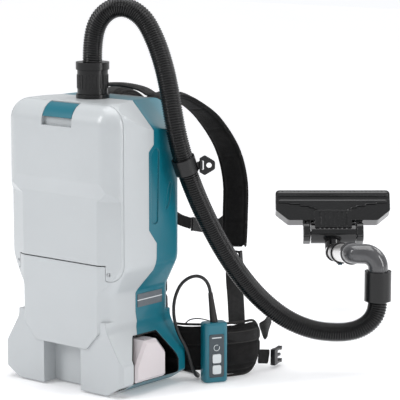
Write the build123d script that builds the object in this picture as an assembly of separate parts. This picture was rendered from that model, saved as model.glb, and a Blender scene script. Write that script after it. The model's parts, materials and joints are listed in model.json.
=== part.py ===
"""Backpack vacuum cleaner: cleaner body, harness, hose, remote control and floor wand.

Millimetres. +Z is up, the front cover faces -Y and the wearer's back is at +Y.
The origin is on the floor, under the centre of the hose inlet's case.
"""
from build123d import *
import os
from math import cos, sin, tan, radians, pi

os.makedirs("parts", exist_ok=True)

# ---------------------------------------------------------------- driving dimensions
case_height = 505.0          # top of the hard case above the floor
case_half_width = 131.0      # half the width of the dust chamber
waist_half_width = 104.0     # half the width of the motor section
foot_half_width = 140.0      # half the width at the feet
case_front_y = -85.0         # front of the upper cover
case_back_y = 92.0           # back of the rear case
apron_front_y = -80.0        # front of the lower cover and of the motor section
foot_front_y = -77.0         # front of the two feet
wall = 3.0                   # moulded wall
front_corner = 36.0          # radius of the upright front corners
back_corner = 16.0           # radius of the upright back corners
waist_low_z = 100.0          # where the upper shell meets the foot block
waist_top_z = 175.0
shoulder_z = 225.0           # the chamber reaches its full width here
top_corner = 38.0            # radius of the two upper corners, seen from the front
bevel_top_x = 83.0           # the slope on each upper corner meets the top here
bevel_start_y = 19.0         # and is even behind this, and dies away in front of it
bevel_fade = 0.354
mouth_bevel_z = 450.0        # the dust chamber's mouth has sloping upper corners
mouth_top_half = 80.0
foot_sole_half = 106.0       # half the width of the foot block's underside
foot_chamfer_z = 24.0        # its lower outer edges slope up to here
foot_flare_z = 58.0          # it narrows above this height
foot_top_z = 117.0           # and has the waist's width from here up
foot_gap_half = 44.0         # half the recess between the feet
apron_z = 79.0               # lower edge of the apron
facet_start_x = 88.0         # the flats beside the lower cover start here
facet_slope = 0.42
rubber_foot_height = 3.0
rubber_foot_radius = 11.0

door_part_y = -58.0          # parting plane of the dust door
door_bottom_z = 230.0
door_gap = 0.6
door_bottom_gap = 1.9
hinge_y, hinge_z = -70.0, 215.0
ear_radius = 12.0
ear_inner_x = 102.0
hinge_pin_radius = 3.0
hinge_pin_start_x, hinge_pin_end_x = 95.0, 109.0
shaft_clearance = 0.05       # running clearance on a radius
body_gap = 0.4               # clearance between pieces that move past each other

inlet_y = 8.0                # axis of the hose inlet
inlet_radius = 29.5
spigot_radius = 23.0
spigot_bore = 19.0
cuff_radius = 27.0
cuff_top_z = 555.0
hose_collar_top_z = 568.0
hose_radius = 17.5
hose_bore = 14.0

battery_in_x, battery_out_x = 52.0, 143.0
battery_y = -12.0            # middle of the battery's button, front to back
bay_end_x = 48.0             # closed inner end of each bay
bay_low_z, bay_high_z = 22.0, 98.0
bay_wall = 2.0
battery_gap = 1.0
release_travel = 3.0

motor_z = 132.0              # bottom of the motor housing
motor_housing_radius = 62.0
motor_housing_height = 78.0
motor_y = 5.0
motor_radius = 32.0
shaft_radius = 4.0
impeller_radius = 52.0

wing_thickness = 14.0
wing_height = 100.0
strap_thickness = 12.0
strap_width = 54.0
webbing_width = 30.0
webbing_thickness = 2.4

remote_width, remote_depth, remote_height = 45.0, 28.0, 108.0
remote_cord_radius = 3.0
panel_thickness = 1.2
remote_button_travel = 1.0

outer_pipe_radius = 17.5
pipe_wall = 1.2
outer_pipe_length = 310.0
inner_pipe_radius = 15.0
inner_pipe_shown = 170.0
nozzle_width, nozzle_depth, nozzle_thickness = 236.0, 66.0, 30.0
barrel_radius, barrel_length = 21.0, 92.0


# ---------------------------------------------------------------- helpers
def outline(points, radii):
    """A flat face with the given corners, each rounded by its own radius."""
    return make_face(FilletPolyline(*points, radius=radii, close=True))


def polygon(points):
    return make_face(Polyline(*points, close=True))


def along_x(face, x0, x1):
    """Extrude an outline drawn in (y, z) from x0 to x1."""
    return Pos(x0, 0, 0) * extrude(Plane.YZ * face, amount=x1 - x0, dir=(1, 0, 0))


def along_y(face, y0, y1):
    """Extrude an outline drawn in (x, z) from y0 to y1."""
    return Pos(0, y0, 0) * extrude(Plane.XZ * face, amount=y1 - y0, dir=(0, 1, 0))


def along_z(face, z0, z1):
    """Extrude an outline drawn in (x, y) from z0 to z1."""
    return Pos(0, 0, z0) * extrude(face, amount=z1 - z0, dir=(0, 0, 1))


def block(x0, x1, y0, y1, z0, z1):
    return Pos((x0 + x1) / 2, (y0 + y1) / 2, (z0 + z1) / 2) * Box(x1 - x0, y1 - y0, z1 - z0)


def rod(start, direction, radius, length):
    """A cylinder from a point, along a direction."""
    plane = Plane(origin=start, z_dir=direction)
    return plane * Cylinder(radius, length, align=(Align.CENTER, Align.CENTER, Align.MIN))


def tube(start, direction, radius, bore, length):
    return rod(start, direction, radius, length) - rod(start, direction, bore, length)


def both_sides(piece):
    return piece, mirror(piece, about=Plane.YZ)


def ribbon(points, sides, width, thickness):
    """A flat strap through the points; sides gives the direction of its width at each."""
    sections = []
    for i, point in enumerate(points):
        before = Vector(*points[max(i - 1, 0)])
        after = Vector(*points[min(i + 1, len(points) - 1)])
        run = (after - before).normalized()
        side = Vector(*sides[i])
        side = (side - run * side.dot(run)).normalized() * (width / 2)
        face = run.cross(side).normalized() * (thickness / 2)
        middle = Vector(*point)
        sections.append(Wire.make_polygon(
            [middle + side + face, middle - side + face, middle - side - face,
             middle + side - face], close=True))
    return Solid.make_loft(sections, ruled=True)


def upright_band(points, thickness, z0, z1):
    """A wall of even thickness that stands on edge and follows the points in plan."""
    left, right = [], []
    for i, (x, y) in enumerate(points):
        x0, y0 = points[max(i - 1, 0)]
        x1, y1 = points[min(i + 1, len(points) - 1)]
        run = Vector(x1 - x0, y1 - y0, 0).normalized() * (thickness / 2)
        left.append((x - run.Y, y + run.X))
        right.append((x + run.Y, y - run.X))
    return along_z(polygon(left + right[::-1]), z0, z1)


def corner_radii(points):
    """Largest arcs for a cord: 0.45 of the shorter run over the tangent of half the turn."""
    radii = []
    for before, here, after in zip(points, points[1:], points[2:]):
        run_in = Vector(*here) - Vector(*before)
        run_out = Vector(*after) - Vector(*here)
        half_turn = radians(run_in.get_angle(run_out)) / 2
        radii.append(0.45 * min(run_in.length, run_out.length) / tan(half_turn))
    return radii


def cord(name, points, radius, bore=0.0):
    """A round cord along straight runs joined by tangent arcs."""
    radii = corner_radii(points)
    path = FilletPolyline(*points, radius=radii)
    runs = [(Vector(*b) - Vector(*a)).length for a, b in zip(points, points[1:])]
    section = Plane(origin=points[0], z_dir=Vector(*points[1]) - Vector(*points[0]))
    ring = Circle(radius) - Circle(bore) if bore else Circle(radius)
    solid = sweep(section * ring, path)
    area = pi * (radius ** 2 - bore ** 2)
    print(name, "length", round(path.length, 1), "volume ratio",
          round(solid.volume / (area * path.length), 4))
    print("  radii", [round(r, 1) for r in radii], "runs", [round(r, 1) for r in runs])
    return solid


def save(name, *solids):
    """Write one node, made of one or more separate solids."""
    kept = []
    for solid in solids:
        kept.extend(solid.solids())
    export_step(kept[0] if len(kept) == 1 else Compound(kept), "parts/" + name + ".step")


# ---------------------------------------------------------------- case envelope
def bevel_wedge(inset):
    """What the slope takes off the upper corner on the +X side."""
    start = Vector(bevel_top_x, bevel_start_y, case_height)
    wedge = None
    for fade, y0, y1 in ((bevel_fade, -200, bevel_start_y), (0.0, bevel_start_y, 200)):
        normal = Vector(1, fade, 1).normalized()
        place = Plane(origin=start - normal * inset, z_dir=normal)
        piece = place * Box(500, 500, 90, align=(Align.CENTER, Align.CENTER, Align.MIN))
        piece = piece & block(0, 300, y0, y1, 300, 700)
        wedge = piece if wedge is None else wedge + piece
    return wedge


def upper_envelope(inset):
    """The motor section and dust chamber, as one rounded block, inset by a wall."""
    low_z = waist_low_z + inset
    side = [(waist_half_width, waist_top_z), (case_half_width, shoulder_z),
            (case_half_width, case_height)]
    corners = [(-x, z) for x, z in side] + side[::-1]
    face = make_face([
        Line((-waist_half_width, low_z), (waist_half_width, low_z)),
        FilletPolyline((-waist_half_width, low_z), *corners, (waist_half_width, low_z),
                       radius=[24, 42, top_corner, top_corner, 42, 24])])
    if inset:
        face = offset(face, -inset)
    solid = along_y(face, case_front_y + inset, case_back_y - inset)
    for y, radius in ((case_front_y + inset, front_corner), (case_back_y - inset, back_corner)):
        edges = [e for e in solid.edges() if abs(e.center().Y - y) < 0.01
                 and e.center().Z > low_z + 1.5 * inset + 0.5]
        solid = fillet(edges, radius - inset)
    for cut in both_sides(bevel_wedge(inset)):
        solid = solid - cut
    return solid


def chamber_outline(inset):
    """Outline of the dust chamber's mouth in (x, z)."""
    side, top = case_half_width - inset, case_height - inset
    return outline([(-side, door_bottom_z), (-side, mouth_bevel_z), (-mouth_top_half, top),
                    (mouth_top_half, top), (side, mouth_bevel_z), (side, door_bottom_z)],
                   [4, 40 - inset, 40 - inset, 40 - inset, 40 - inset, 4])


def foot_envelope(inset):
    """The flared block under the waist, with the recess between the two feet."""
    low, flare = rubber_foot_height + inset, foot_half_width - inset
    sole = foot_sole_half - 0.6 * inset
    side = [(sole, low), (flare, foot_chamfer_z), (flare, foot_flare_z),
            (waist_half_width - inset, foot_top_z), (waist_half_width - inset, 130 - inset)]
    rounds = [5, 8, 12, 30, 1]
    front = along_y(outline([(-x, z) for x, z in side] + side[::-1], rounds + rounds[::-1]),
                    foot_front_y - 20, case_back_y + 20)
    edge, nose, back = flare + 10, foot_front_y + inset, case_back_y - inset
    plan = along_z(outline(
        [(-edge, nose + 21), (-flare + 4, nose), (flare - 4, nose), (edge, nose + 21),
         (edge, back), (-edge, back)], [6, 8, 8, 6, back_corner, back_corner]), 0, 140)
    recess = block(-foot_gap_half - inset, foot_gap_half + inset,
                   foot_front_y - 20, foot_front_y + 30 + inset, -1, apron_z + 20 + inset)
    return (front & plan) - recess


def lower_front_cut(inset):
    """What is taken off the envelope's front below the cover's sloping band."""
    y, step = apron_front_y + inset, apron_front_y - case_front_y
    return along_x(polygon([(-140, 90), (y, 90), (y, 345), (y - step, 372), (-140, 372)]),
                   -160, 160)


def side_facet(inset):
    """The flat that replaces the round corner beside the lower cover."""
    x, y, run = facet_start_x - 0.4 * inset, apron_front_y + 0.9 * inset, 60.0
    corners = [(x, y), (x + run, y + facet_slope * run), (x + run, -140), (x, -140)]
    fade = [(x + 40, y - 10), (x + run, y + 5), (x + run, -140), (x + 40, -140)]
    straight = along_z(polygon(corners), 90, 340)
    loft_to = Solid.make_loft([Wire.make_polygon([(*p, 340) for p in corners], close=True),
                               Wire.make_polygon([(*p, 378) for p in fade], close=True)],
                              ruled=True)
    return straight + loft_to


def cover_cuts(solid, inset):
    for cut in (lower_front_cut(inset), *both_sides(side_facet(inset))):
        solid = solid - cut
    return solid


apron_face = polygon([(-waist_half_width, 128), (-61, apron_z), (61, apron_z),
                      (waist_half_width, 128), (waist_half_width, 140), (-waist_half_width, 140)])
apron_plan = along_z(outline(
    [(-waist_half_width, apron_front_y), (waist_half_width, apron_front_y),
     (waist_half_width, 0), (-waist_half_width, 0)], [32, 32, 1, 1]), 0, 200)
apron = along_y(apron_face, apron_front_y, foot_front_y + 12) & apron_plan
below_apron = along_y(polygon([(61, apron_z - 1), (waist_half_width, 127), (150, 127),
                               (150, apron_z - 1)]), apron_front_y - 20, foot_front_y)

outer = cover_cuts(upper_envelope(0), 0)
for cut in both_sides(below_apron):
    outer = outer - cut
outer = outer + foot_envelope(0) + apron
inner = cover_cuts(upper_envelope(wall), wall) + foot_envelope(wall)
apron_back = block(-60, 60, foot_front_y - 10, foot_front_y + 30 + wall, 70, apron_z + 22)
inner = inner - apron_back
shell = outer - inner

# white front against teal rear, seen from the side: (y, z) from the floor to the top
split_line = [(-38, -1), (-32, 60), (-8, 100), (3, 121), (0, 138), (0, 172), (25, 211), (26, 259),
              (6, 284), (6, 420), (19, 432), (19, 520)]
front_zone = along_x(polygon([(-140, -1)] + split_line + [(-140, 520)]), -170, 170)


def door_zone(gap, bottom_gap, x_gap):
    """The space of the dust door, grown by the gaps around it."""
    back = door_part_y + gap
    low = door_bottom_z - bottom_gap
    zone = along_x(polygon([(-140, low), (back, low), (back, 530), (-140, 530)]), -170, 170)
    for side in (1, -1):
        x0, x1 = sorted((side * (ear_inner_x - x_gap), side * 170))
        zone = zone + along_x(polygon([(-140, hinge_z), (back, hinge_z), (back, low + 3),
                                       (-140, low + 3)]), x0, x1)
        zone = zone + rod((x0, hinge_y, hinge_z), (1, 0, 0), ear_radius + gap, x1 - x0)
    return zone


# ---------------------------------------------------------------- case shells
bay_outline = outline([(-46, bay_low_z - bay_wall), (-46, 64), (-20, bay_high_z + bay_wall),
                       (42, bay_high_z + bay_wall), (74, 46), (74, bay_low_z - bay_wall)],
                      [4, 4, 4, 4, 4, 4])
bay_blocks = both_sides(along_x(bay_outline, bay_end_x, 170))
inlet_hole = rod((0, inlet_y, 480), (0, 0, 1), spigot_radius + 0.2, 40)
shelf_z = 219.0
screw_seats = [(80, shelf_z - 5), (-80, shelf_z - 5), (60, 497), (-60, 497)]
screw_split_y = 19.0
shelf_back_y = 84.0
board_back_y = 82.0
screw_radius, screw_head_radius, boss_radius = 2.0, 4.0, 6.0
vent_long, vent_wide, vent_thick = 28.0, 16.0, 2.4
vent_place = Plane(origin=(122.2, -58, 13.0), x_dir=(0, 1, 0),
                   z_dir=(foot_chamfer_z - rubber_foot_height, 0, foot_sole_half - foot_half_width))


def hinge_boss():
    return block(95, ear_inner_x - door_gap, apron_front_y + 1, -54, 206, shelf_z + 1)


def make_front_housing():
    body = (shell & front_zone) - door_zone(door_gap, door_bottom_gap, door_gap)
    shelf = block(-150, 150, -56, shelf_back_y, shelf_z, shelf_z + 3) & inner
    shelf = shelf - rod((0, motor_y, shelf_z - 1), (0, 0, 1), 45, 5)
    frame = along_y(chamber_outline(wall - 0.5) - chamber_outline(wall + 10), -52, -49)
    body = body + shelf + (frame & (inner + outer))
    for boss in both_sides(hinge_boss()):
        body = body + (boss & outer)
    for x, z in screw_seats:
        length = 36 if z > 300 else 28
        start = (screw_split_y if z > 300 else shelf_back_y) - length
        body = body + (rod((x, start, z), (0, 1, 0), boss_radius, length - 0.2) & outer)
        body = body - rod((x, start + 4, z), (0, 1, 0), screw_radius, length)
    for bore in both_sides(rod((hinge_pin_start_x, hinge_y, hinge_z), (1, 0, 0),
                               hinge_pin_radius, 20)):
        body = body - bore
    for cut in (*bay_blocks, *both_sides(vent_place * Box(vent_long, vent_wide, 12))):
        body = body - cut
    return body - inlet_hole


def make_rear_case():
    body = shell - front_zone
    scoop = along_x(outline([(12, 296), (30, 290), (34, 440), (12, 414)], [8, 8, 8, 5]),
                    case_half_width - 2.2, 160)
    leaf = along_x(outline([(46, 300), (62, 330), (70, 380), (56, 350)], [3, 10, 3, 10]),
                   case_half_width - 1.6, 160)
    for cut in (*both_sides(scoop), *both_sides(leaf)):
        body = body - cut
    for x, z in screw_seats:
        start = screw_split_y if z > 300 else shelf_back_y
        boss = rod((x, start, z), (0, 1, 0), boss_radius, case_back_y - wall - start + 1)
        body = body + (boss & outer)
        body = body - rod((x, start - 1, z), (0, 1, 0), screw_radius, 90)
        body = body - rod((x, case_back_y - wall, z), (0, 1, 0), screw_head_radius + 0.3, 20)
    for x in (-50, 50):                      # posts that carry the control board
        for z in (150, 190):
            body = body + rod((x, board_back_y, z), (0, 1, 0), 3,
                              case_back_y - wall - board_back_y + 0.5)
    for cut in (*bay_blocks, *both_sides(vent_place * Box(vent_long, vent_wide, 12))):
        body = body - cut
    return body - inlet_hole


save("front_housing", make_front_housing())
save("rear_case", make_rear_case())
screws = []
for x, z in screw_seats:
    tip_y = 2.0 if z > 300 else 62.0
    head_y = case_back_y - wall
    screws.append(rod((x, head_y, z), (0, 1, 0), screw_head_radius, 2.4)
                  + rod((x, tip_y, z), (0, 1, 0), screw_radius, head_y - tip_y))
save("case_screws", *screws)
foot_places = [(x, y) for x in (-84, 84) for y in (-54, 68)] + [(0, 0)]
save("rubber_feet", *[rod((x, y, 0), (0, 0, 1), rubber_foot_radius, rubber_foot_height)
                      for x, y in foot_places])
seal_face = chamber_outline(wall + 1.5) - chamber_outline(wall + 7)
save("door_seal", along_y(seal_face, -56.5, -52) & inner)


# ---------------------------------------------------------------- dust door and latch
latch_half, latch_low_z = 34.0, 479.0
latch_pin_y, latch_pin_z = -68.3, 493.9
latch_pin_radius, latch_hub_radius = 1.5, 3.0
latch_thickness = 2.6
pocket_depth = 8.0
pocket_low_z = 464.0


def make_dust_door():
    body = shell & door_zone(0, 0, 0)
    for side in (1, -1):
        x0, x1 = sorted((side * (ear_inner_x + 0.5), side * 150))
        lug = rod((x0, hinge_y, hinge_z), (1, 0, 0), ear_radius, x1 - x0) & outer
        body = body + lug
        x0, x1 = sorted((side * 90, side * (hinge_pin_end_x + 0.5)))
        body = body - rod((x0, hinge_y, hinge_z), (1, 0, 0), hinge_pin_radius + shaft_clearance,
                          x1 - x0)
    rim = latch_half + 1
    pocket = block(-rim, rim, -100, door_part_y + 10, pocket_low_z, 520)
    deep = upper_envelope(pocket_depth)
    liner = (deep - upper_envelope(pocket_depth + wall)) & block(
        -rim - wall, rim + wall, -100, door_part_y, pocket_low_z - wall, 520)
    frame = (outer - upper_envelope(pocket_depth + wall)) & (
        block(-rim - wall, rim + wall, -100, door_part_y, pocket_low_z - wall, 520) - pocket)
    pin = rod((-rim - 1, latch_pin_y, latch_pin_z), (1, 0, 0), latch_pin_radius, 2 * rim + 2)
    return body - pocket + liner + frame + pin


def make_latch():
    """A curved lever that wraps the top front edge and turns on its pin."""
    skin = (outer - upper_envelope(latch_thickness)) & block(
        -latch_half, latch_half, -100, -62, latch_low_z, 520)
    hub = rod((-latch_half + 4, latch_pin_y, latch_pin_z), (1, 0, 0), latch_hub_radius,
              2 * latch_half - 8)
    return skin + hub - rod((-60, latch_pin_y, latch_pin_z), (1, 0, 0),
                            latch_pin_radius + shaft_clearance, 120)


save("dust_door", make_dust_door())
save("door_latch", make_latch())
save("hinge_pins", *both_sides(rod((hinge_pin_start_x, hinge_y, hinge_z), (1, 0, 0),
                                   hinge_pin_radius, hinge_pin_end_x - hinge_pin_start_x)))

# ---------------------------------------------------------------- hose inlet
up = (0, 0, 1)
save("inlet_socket", tube((0, inlet_y, case_height), up, inlet_radius, spigot_bore, 7)
     + tube((0, inlet_y, 470), up, spigot_radius, spigot_bore, case_height - 470))
socket_top_z = case_height + 7
cuff_body = tube((0, inlet_y, socket_top_z + body_gap), up, cuff_radius,
                 spigot_bore + body_gap, cuff_top_z - socket_top_z - 2 * body_gap)
for i in range(24):
    rib = Pos(cuff_radius, 0, 0) * Box(1.6, 2.4, 24)
    cuff_body = cuff_body + Pos(0, inlet_y, 534) * Rot(0, 0, 15 * i) * rib
save("hose_cuff", cuff_body)
save("hose_collar", tube((0, inlet_y, cuff_top_z), up, inlet_radius, hose_bore,
                         hose_collar_top_z - cuff_top_z)
     + tube((0, inlet_y, socket_top_z - 12), up, spigot_bore, hose_bore + 1,
            cuff_top_z - socket_top_z + 12))

# ---------------------------------------------------------------- dust bag and filters
bag = Pos(0, -8, 368) * Box(206, 78, 190)
bag = fillet(bag.edges(), 18)
collar = block(-48, 48, -34, 44, 463.5, 467) - rod((0, inlet_y, 450), up, spigot_bore, 30)
save("dust_bag", bag, collar)
save("hepa_filter", block(-80, 80, -42, 62, 223, 253))
save("prefilter", block(-78, 78, -40, 60, 253, 262))

# ---------------------------------------------------------------- motor
housing_top = motor_z + motor_housing_height


def make_motor_housing():
    body = tube((0, motor_y, motor_z), up, motor_housing_radius, motor_housing_radius - 2.5,
                motor_housing_height)
    body = body + rod((0, motor_y, motor_z), up, motor_housing_radius, 2.5)
    lid = tube((0, motor_y, housing_top), up, motor_housing_radius, 30, 2.5)
    neck = tube((0, motor_y, housing_top + 2.5), up, 49, 45, shelf_z - housing_top - 2.5)
    stand = tube((0, motor_y, motor_z + 2.5), up, 30, 24, 4.5)
    body = body + lid + neck + stand
    for i in range(8):
        slot = Pos(motor_housing_radius - 1, 0, motor_z + 22) * Box(8, 12, 22)
        body = body - Pos(0, motor_y, 0) * Rot(0, 0, 45 * i) * slot
    return body


def make_impeller():
    low = motor_z + 54
    body = rod((0, 0, low), up, impeller_radius, 2) + rod((0, 0, low), up, 11, 18)
    for i in range(9):
        blade = Pos(30, 4, low + 9) * Rot(0, 0, 24) * Box(36, 1.8, 16)
        body = body + Rot(0, 0, 40 * i) * blade
    body = Pos(0, motor_y, 0) * body
    return body - rod((0, motor_y, 100), up, shaft_radius, 200)


motor_low = motor_z + 7
motor_body = rod((0, motor_y, motor_low), up, motor_radius, 42)
motor_body = motor_body - rod((0, motor_y, 100), up, shaft_radius + 1, 200)
for z in (motor_low, motor_low + 35):
    motor_body = motor_body - rod((0, motor_y, z), up, 11, 7)
save("motor_housing", make_motor_housing())
save("motor", motor_body)
save("motor_bearings", *[tube((0, motor_y, z), up, 11, shaft_radius + shaft_clearance, 7)
                         for z in (motor_low, motor_low + 35)])
save("motor_shaft", rod((0, motor_y, motor_low - 2), up, shaft_radius, 66))
save("impeller", make_impeller())
board = block(-58, 58, board_back_y - 2, board_back_y, 140, 200)
for x, z in ((-36, 160), (-14, 182), (12, 158), (34, 178)):
    board = board + block(x - 8, x + 8, board_back_y - 8, board_back_y - 2, z - 8, z + 8)
save("control_board", board)

# ---------------------------------------------------------------- batteries
bay = None
bay_hollows = both_sides(along_x(offset(bay_outline, -bay_wall), bay_end_x + bay_wall, 170))
for full, hollow in zip(bay_blocks, bay_hollows):
    one = (full & outer) - hollow
    bay = one if bay is None else bay + one
save("battery_bay", bay)
battery_low = bay_low_z + battery_gap
battery_face = outline([(battery_y - 30, battery_low), (battery_y - 30, 52), (battery_y - 6, 94),
                        (battery_y + 26, 94), (battery_y + 50, 68), (battery_y + 50, battery_low)],
                       [5, 8, 6, 6, 8, 5])
release_low_z, release_top_z = 88.0, 96.0
release_x0, release_x1, release_length = 120.0, 134.0, 20.0


def make_battery():
    body = along_x(battery_face, battery_in_x, battery_out_x)
    end = [e for e in body.edges() if abs(e.center().X - battery_out_x) < 0.01]
    body = chamfer(end, 5)
    body = body - block(battery_in_x - 1, battery_in_x + 12, battery_y - 6, battery_y + 26, 40, 60)
    return body - block(release_x0 - 0.5, release_x1 + 0.5, battery_y - 0.5,
                        battery_y + release_length + 0.5,
                        release_low_z - release_travel - 1, release_top_z)


def make_battery_button():
    body = block(release_x0, release_x1, battery_y, battery_y + release_length,
                 release_low_z, release_top_z)
    return fillet(body.edges().group_by(Axis.Z)[-1], 2)


for name, piece in (("battery", make_battery()), ("battery_button", make_battery_button())):
    right, left = both_sides(piece)
    save(name + "_right", right)
    save(name + "_left", left)
save("battery_terminals", *both_sides(block(bay_end_x + bay_wall, 60, battery_y - 4,
                                            battery_y + 24, 42, 58)))


# ---------------------------------------------------------------- vents, plate and gland
def make_grille():
    """A flush panel with a lattice of square holes, in the foot's lower outer edge."""
    piece = Pos(0, 0, -vent_thick / 2) * Box(vent_long - 0.2, vent_wide - 0.2, vent_thick)
    for i in range(-4, 5):
        for j in range(-2, 3):
            if (i + j) % 2 == 0:
                piece = piece - Pos(2.7 * i, 2.7 * j, 0) * Rot(0, 0, 45) * Box(2.6, 2.6, 9)
    return vent_place * piece


save("exhaust_grille", *both_sides(make_grille()))
save("rating_plate", block(waist_half_width, waist_half_width + 0.8, 5, 70, 145, 168))
gland_x, gland_z = 60.0, 14.0
gland_end_y = 112.0
gland = rod((gland_x, case_back_y, gland_z), (0, 1, 0), 9, 3)
gland = gland + Plane(origin=(gland_x, case_back_y + 3, gland_z), z_dir=(0, 1, 0)) * Cone(
    7, 4, gland_end_y - case_back_y - 3, align=(Align.CENTER, Align.CENTER, Align.MIN))
save("cord_gland", gland)

# ---------------------------------------------------------------- harness
plate_y = 96.0
save("harness_plate", along_y(outline([(-58, 110), (-58, 470), (58, 470), (58, 110)],
                                      [10, 10, 10, 10]), case_back_y, plate_y))
pad_outline = outline([(-92, 96), (-92, 205), (-98, 260), (-98, 430), (-70, 468), (70, 468),
                       (98, 430), (98, 260), (92, 205), (92, 96)],
                      [10, 40, 40, 20, 20, 20, 20, 40, 40, 10])
save("back_pad", along_y(pad_outline, plate_y + 0.4, plate_y + 15))

strap_points = [(54, 100, 478), (58, 118, 499), (62, 152, 502), (68, 191, 486), (76, 235, 453),
                (87, 274, 397), (97, 286, 337), (105, 277, 274), (111, 266, 216)]
strap_sides = [(1, 0, 0)] * 4 + [(1, 0.1, 0)] * 5
strap = ribbon(strap_points, strap_sides, strap_width, strap_thickness)
for name, piece in zip(("right", "left"), both_sides(strap)):
    save("shoulder_strap_" + name, piece)
adjuster = Pos(113, 262, 199) * Rot(6, 0, 0) * Box(38, 11, 24)
save("strap_adjusters", *both_sides(adjuster))
webbing = ribbon([(115, 259, 182), (124, 249, 163), (146, 227, 132), (170, 200, 103)],
                 [(1, 0.2, 0), (1, 0.3, 0), (0.9, 0.7, 0), (0.7, 0.8, 0)],
                 webbing_width, webbing_thickness)
save("lower_webbings", *both_sides(webbing))
chest_half = ribbon([(82, 289, 266), (50, 298, 246), (20, 302, 239)],
                    [(0, 0, 1)] * 3, 22, webbing_thickness)
save("chest_strap", *both_sides(chest_half), block(-19, 19, 297, 307, 226, 252))

wing_plan = [(99, 106), (125, 116), (155, 140), (178, 172), (190, 206), (188, 238)]
wing = upright_band(wing_plan, wing_thickness, 0, wing_height)
wing = wing - along_z(polygon([(80, 80), (165, 80), (165, 110), (140, 170), (80, 170)]), -1, 9)
for name, piece in zip(("right", "left"), both_sides(wing)):
    save("waist_wing_" + name, piece)
tongue = ribbon([(188, 250, 69), (188, 264, 76), (181, 286, 92)], [(0, 0.2, 1)] * 3, 36,
                webbing_thickness)
tail = ribbon([(189, 240, 26), (193, 253, 24), (195, 264, 22)], [(0, 0, 1)] * 3, 26,
              webbing_thickness)
left_tail = ribbon([(-188, 245, 48), (-184, 264, 42), (-172, 284, 30)], [(0, 0.1, 1)] * 3, 36,
                   webbing_thickness)
save("waist_webbings", tongue, tail, left_tail)
prong = Pos(198, 283, 21) * Rot(0, 0, -76) * (Box(36, 9, 30) - Pos(8, 0, 0) * Box(16, 10, 12))
socket = Pos(-160, 300, 22) * Rot(0, 0, -50) * (Box(40, 12, 34) - Pos(-6, 0, 0) * Box(29, 8, 24))
save("waist_buckle", prong, socket)
handle = ribbon([(-76, 80, 508.6), (-48, 82, 518), (0, 83, 522), (48, 82, 518),
                 (76, 80, 508.6)], [(0, 1, 0)] * 5, 28, 7)
save("carry_handle", handle)

# ---------------------------------------------------------------- suction hose
band_length = 28.0
band_lift = 3.0             # how far above its corner of the hose the holder sits
bar_reach = 9.5             # from the hose's surface to the holder's bar
eye_reach = 14.5            # from the bar to the middle of the eye
wand_x, wand_y = 376.5, 345.5
wand_cuff_low, wand_cuff_high = 138.0, 192.0
hose_points = [(0, inlet_y, hose_collar_top_z), (0, inlet_y, 610), (14, 15.5, 650),
               (45, 33, 668), (78, 51, 650), (101, 57, 612), (122, 56, 568),
               (137.5, 53, 524), (148.5, 51, 478), (155.5, 56, 434), (159, 70, 391),
               (163.5, 90.5, 343), (172, 119.5, 284), (186.5, 157, 217), (208, 198.5, 155),
               (244, 236, 108), (282, 268, 85), (316.5, 296, 79), (345.5, 319.5, 82),
               (365.5, 336, 96), (wand_x, wand_y, 118), (wand_x, wand_y, wand_cuff_low)]
save("suction_hose", cord("suction_hose", hose_points, hose_radius, hose_bore))

before, here, after = (Vector(*p) for p in hose_points[9:12])
band_axis = (after - before).normalized()
band_middle = here + (before + after - here * 2) * 0.08 - band_axis * band_lift
band = tube(band_middle - band_axis * (band_length / 2), band_axis, hose_radius + 3.2,
            hose_radius + 1.0, band_length)
eye_right = Vector(0.77, 0.637, 0)           # the ring's plane runs along this direction
eye_bar = band_middle + eye_right * (hose_radius + bar_reach)
bar_radius, sleeve_radius = 2.0, 3.6
sleeve = tube(eye_bar - Vector(0, 0, 7), up, sleeve_radius, bar_radius + body_gap, 14)
tab_plane = Plane(origin=band_middle + eye_right * (hose_radius + 4.7), x_dir=eye_right,
                  z_dir=(0, 0, 1))
save("hose_holder_band", band + (tab_plane * Box(3.4, 3.0, 12)) + sleeve)

eye_radius = 4.75
ring_face = outline([(-2, -12), (-2, 12), (7, 17.5), (25, 6.5), (25, -6.5), (7, -17.5)],
                    [1.5, 1.5, 4, 5, 5, 4])
slot_face = outline([(-6, -8), (-6, 8), (5.4, 8), (5.4, -8)], [1, 1, 1, 1])
eye_place = Plane(origin=eye_bar, x_dir=eye_right, z_dir=(0.637, -0.77, 0))
ring = extrude(eye_place * ring_face, amount=2, both=True)
ring = ring - extrude(eye_place * slot_face, amount=4, both=True)
ring = ring - extrude(eye_place * (Pos(eye_reach, 0) * Circle(eye_radius)), amount=4, both=True)
ring = ring + rod(eye_bar - Vector(0, 0, 9.5), up, bar_radius, 19)
save("hose_holder_ring", ring)

# ---------------------------------------------------------------- remote control
remote_turn = 60.0          # heading of the remote's width
remote_low = 0.4
remote_place = Plane(origin=(176, 128, remote_low),
                     x_dir=(cos(radians(remote_turn)), sin(radians(remote_turn)), 0),
                     z_dir=(0, 0, 1))
face_y = -remote_depth / 2
case_body = Pos(0, 0, remote_height / 2) * Box(remote_width, remote_depth, remote_height)
case_body = fillet(case_body.edges().filter_by(Axis.Z), 9)
case_body = fillet(case_body.edges().group_by(Axis.Z)[-1], 4)
case_body = fillet(case_body.edges().group_by(Axis.Z)[0], 4)
panel_seat = block(-14.2, 14.2, face_y - 1, face_y + panel_thickness, 10, 88)
button_centres = {"remote_button_power": 44.0, "remote_button_mode": 24.0}
button_half = 8.0
button_back_y = face_y + 3.2
for z in button_centres.values():
    panel_seat = panel_seat + block(-button_half - body_gap, button_half + body_gap,
                                    face_y - 1, button_back_y + remote_button_travel + 0.8,
                                    z - button_half - body_gap, z + button_half + body_gap)
clip = block(-8, 8, -face_y, -face_y + 2, 40, 92)
case_body = case_body - panel_seat + clip
save("remote_case", remote_place * case_body)
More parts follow.
